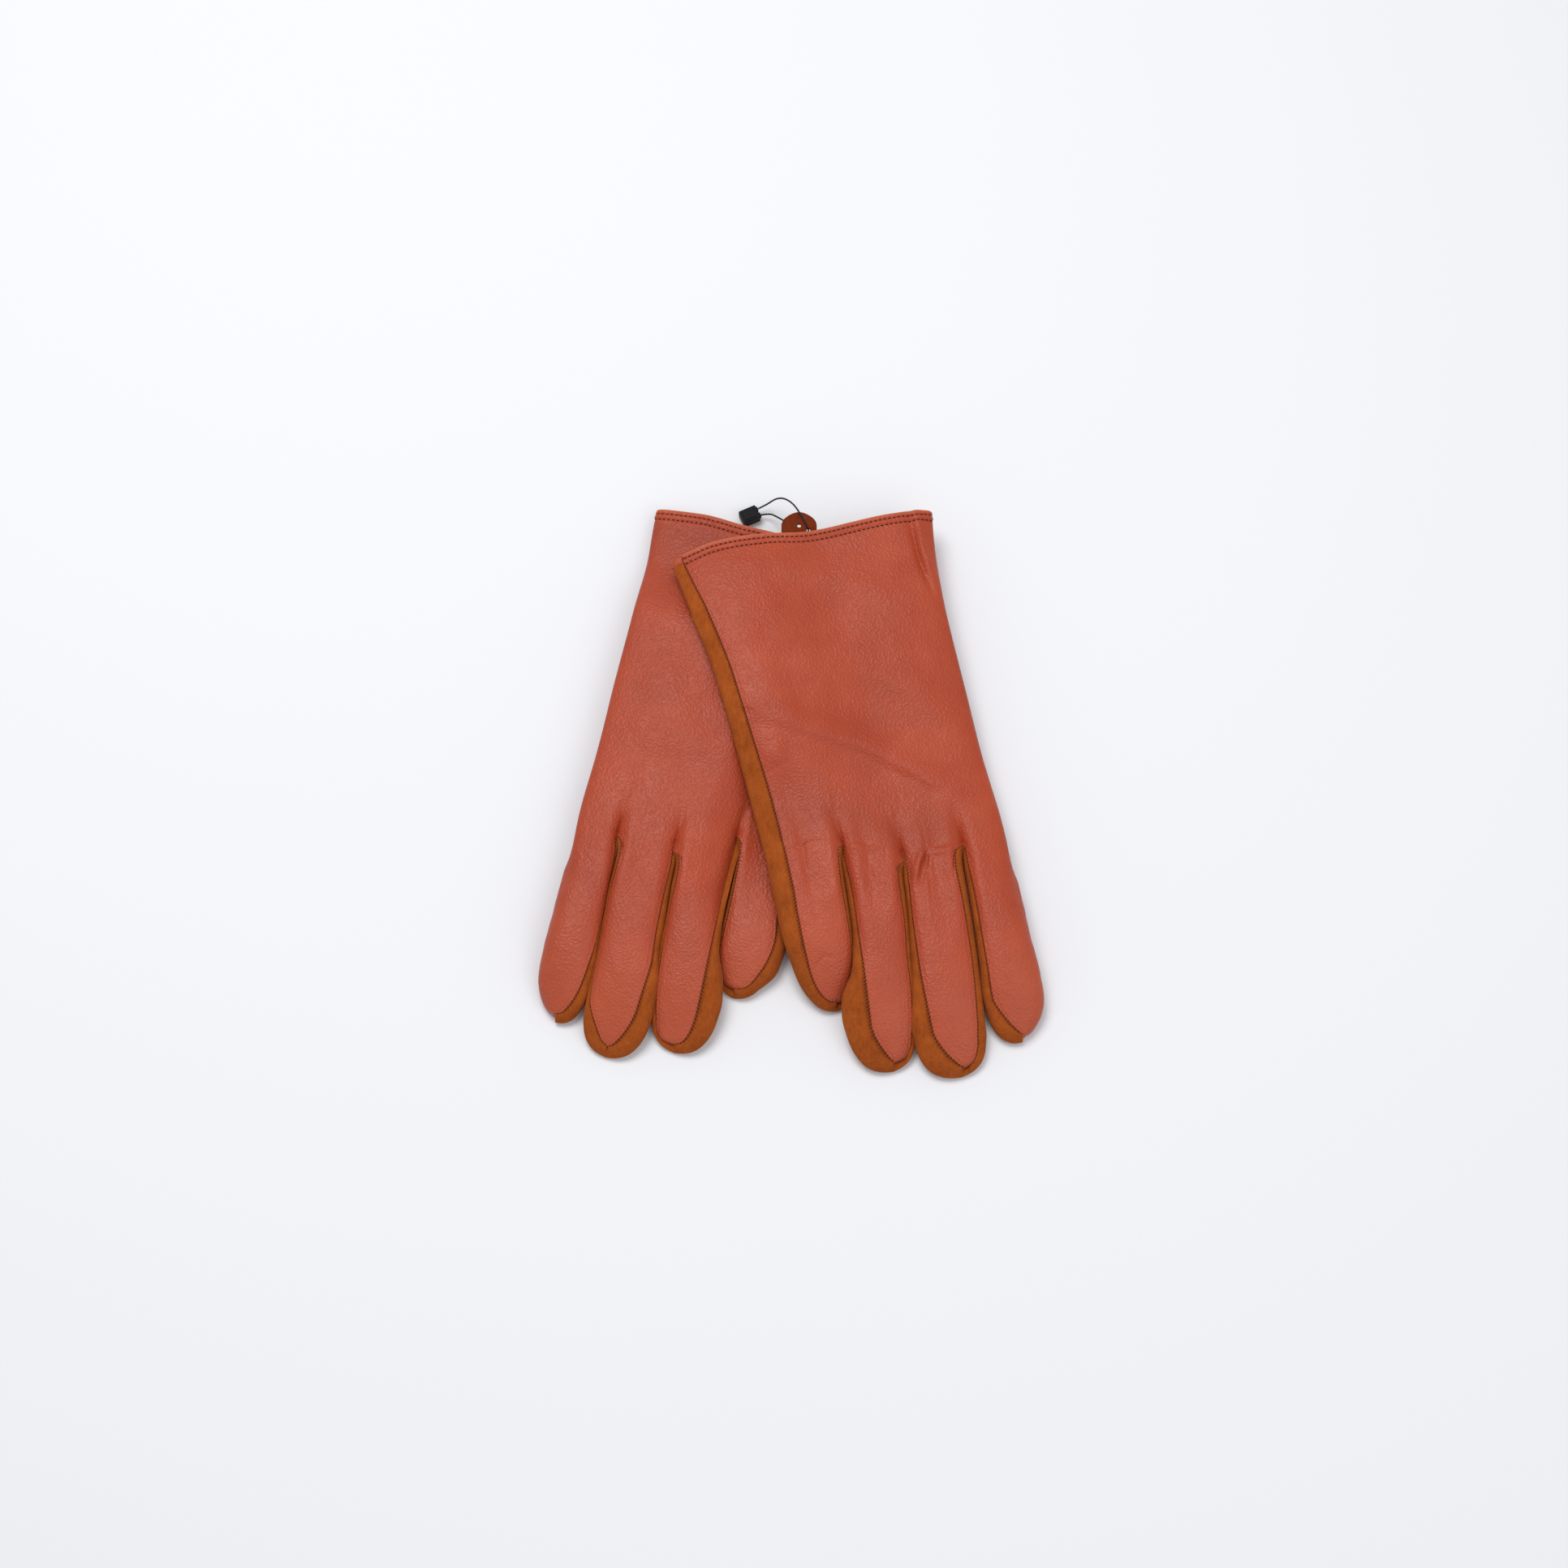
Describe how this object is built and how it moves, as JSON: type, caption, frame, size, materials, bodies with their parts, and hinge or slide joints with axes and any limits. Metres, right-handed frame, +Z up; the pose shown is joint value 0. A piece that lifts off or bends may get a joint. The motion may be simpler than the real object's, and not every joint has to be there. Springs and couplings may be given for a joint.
{
  "type": "pair of leather gloves",
  "caption": "Lined dress gloves lying as a pair, smooth leather backs, suede palms and finger walls, stitched hems, hinged fingers and thumbs, with a tag cord and seal.",
  "frame": {"origin": "middle of the underside's bounding box, on the table the pair lies on", "axes": "+Z up; fingers point towards -Y, cuffs towards +Y; the right glove lies on the +X side, over the left one"},
  "size_m": [0.198, 0.2489, 0.0287],
  "materials": {
    "smooth_leather": "soft tan nappa leather, fine grain, satin",
    "suede": "ochre brown suede, fine nap",
    "knit_lining": "thin knitted lining, warm brown",
    "tab_suede": "dark red-brown suede",
    "tag_cord": "twisted black cord",
    "seal_plastic": "moulded black plastic"
  },
  "bodies": {
    "left_hand": {"left_back": "smooth_leather", "left_palm": "suede", "left_lining": "knit_lining", "left_hem_facing": "smooth_leather", "left_pinky_back": "smooth_leather", "left_pinky_palm": "suede", "left_pinky_fourchette": "suede", "left_pinky_lining": "knit_lining"},
    "left_ring_finger": {"left_ring_back": "smooth_leather", "left_ring_palm": "suede", "left_ring_fourchette": "suede", "left_ring_lining": "knit_lining"},
    "left_middle_finger": {"left_middle_back": "smooth_leather", "left_middle_palm": "suede", "left_middle_fourchette": "suede", "left_middle_lining": "knit_lining"},
    "left_index_finger": {"left_index_back": "smooth_leather", "left_index_palm": "suede", "left_index_fourchette": "suede", "left_index_lining": "knit_lining"},
    "left_thumb": {"left_thumb_outer": "smooth_leather", "left_thumb_inner": "suede", "left_thumb_lining": "knit_lining"},
    "right_hand": {"right_back": "smooth_leather", "right_palm": "suede", "right_lining": "knit_lining", "right_hem_facing": "smooth_leather", "cuff_tab": "tab_suede", "tag_cord": "tag_cord", "seal_block": "seal_plastic", "seal_insert": "seal_plastic"},
    "right_pinky_finger": {"right_pinky_back": "smooth_leather", "right_pinky_palm": "suede", "right_pinky_fourchette": "suede", "right_pinky_lining": "knit_lining"},
    "right_ring_finger": {"right_ring_back": "smooth_leather", "right_ring_palm": "suede", "right_ring_fourchette": "suede", "right_ring_lining": "knit_lining"},
    "right_middle_finger": {"right_middle_back": "smooth_leather", "right_middle_palm": "suede", "right_middle_fourchette": "suede", "right_middle_lining": "knit_lining"},
    "right_index_finger": {"right_index_back": "smooth_leather", "right_index_palm": "suede", "right_index_fourchette": "suede", "right_index_lining": "knit_lining"},
    "right_thumb": {"right_thumb_outer": "smooth_leather", "right_thumb_inner": "suede", "right_thumb_lining": "knit_lining"}
  },
  "joints": [
    {"name": "right_pinky_lift", "type": "hinge", "parent": "right_hand", "child": "right_pinky_finger", "pos_m": [0.00999, -0.0352, 0.02476], "axis": [-0.9991, -0.0417, 0], "range_deg": [0, 60]},
    {"name": "right_ring_lift", "type": "hinge", "parent": "right_hand", "child": "right_ring_finger", "pos_m": [0.03504, -0.03416, 0.02197], "axis": [-0.9991, -0.0417, 0], "range_deg": [0, 60]},
    {"name": "right_middle_lift", "type": "hinge", "parent": "right_hand", "child": "right_middle_finger", "pos_m": [0.05896, -0.03316, 0.0203], "axis": [-0.9991, -0.0417, 0], "range_deg": [0, 60]},
    {"name": "right_index_lift", "type": "hinge", "parent": "right_hand", "child": "right_index_finger", "pos_m": [0.08217, -0.03219, 0.0203], "axis": [-0.9991, -0.0417, 0], "range_deg": [0, 60]},
    {"name": "right_thumb_swing", "type": "hinge", "parent": "right_hand", "child": "right_thumb", "pos_m": [0.05261, 0.04744, 0.0037], "axis": [0, 0, 1], "range_deg": [0, 70]},
    {"name": "left_ring_lift", "type": "hinge", "parent": "left_hand", "child": "left_ring_finger", "pos_m": [-0.03375, -0.03021, 0.01991], "axis": [-0.9979, 0.0643, 0], "range_deg": [0, 60]},
    {"name": "left_middle_lift", "type": "hinge", "parent": "left_hand", "child": "left_middle_finger", "pos_m": [-0.05765, -0.02866, 0.0202], "axis": [-0.9979, 0.0643, 0], "range_deg": [0, 60]},
    {"name": "left_index_lift", "type": "hinge", "parent": "left_hand", "child": "left_index_finger", "pos_m": [-0.08082, -0.02717, 0.0202], "axis": [-0.9979, 0.0643, 0], "range_deg": [0, 60]},
    {"name": "left_thumb_swing", "type": "hinge", "parent": "left_hand", "child": "left_thumb", "pos_m": [-0.04947, 0.05177, 0.0037], "axis": [0, 0, -1], "range_deg": [0, 70]},
    {"name": "right_glove_lift_off", "type": "slide", "parent": "left_hand", "child": "right_hand", "axis": [0, 0, 1], "range_m": [0, 0.12]}
  ]
}
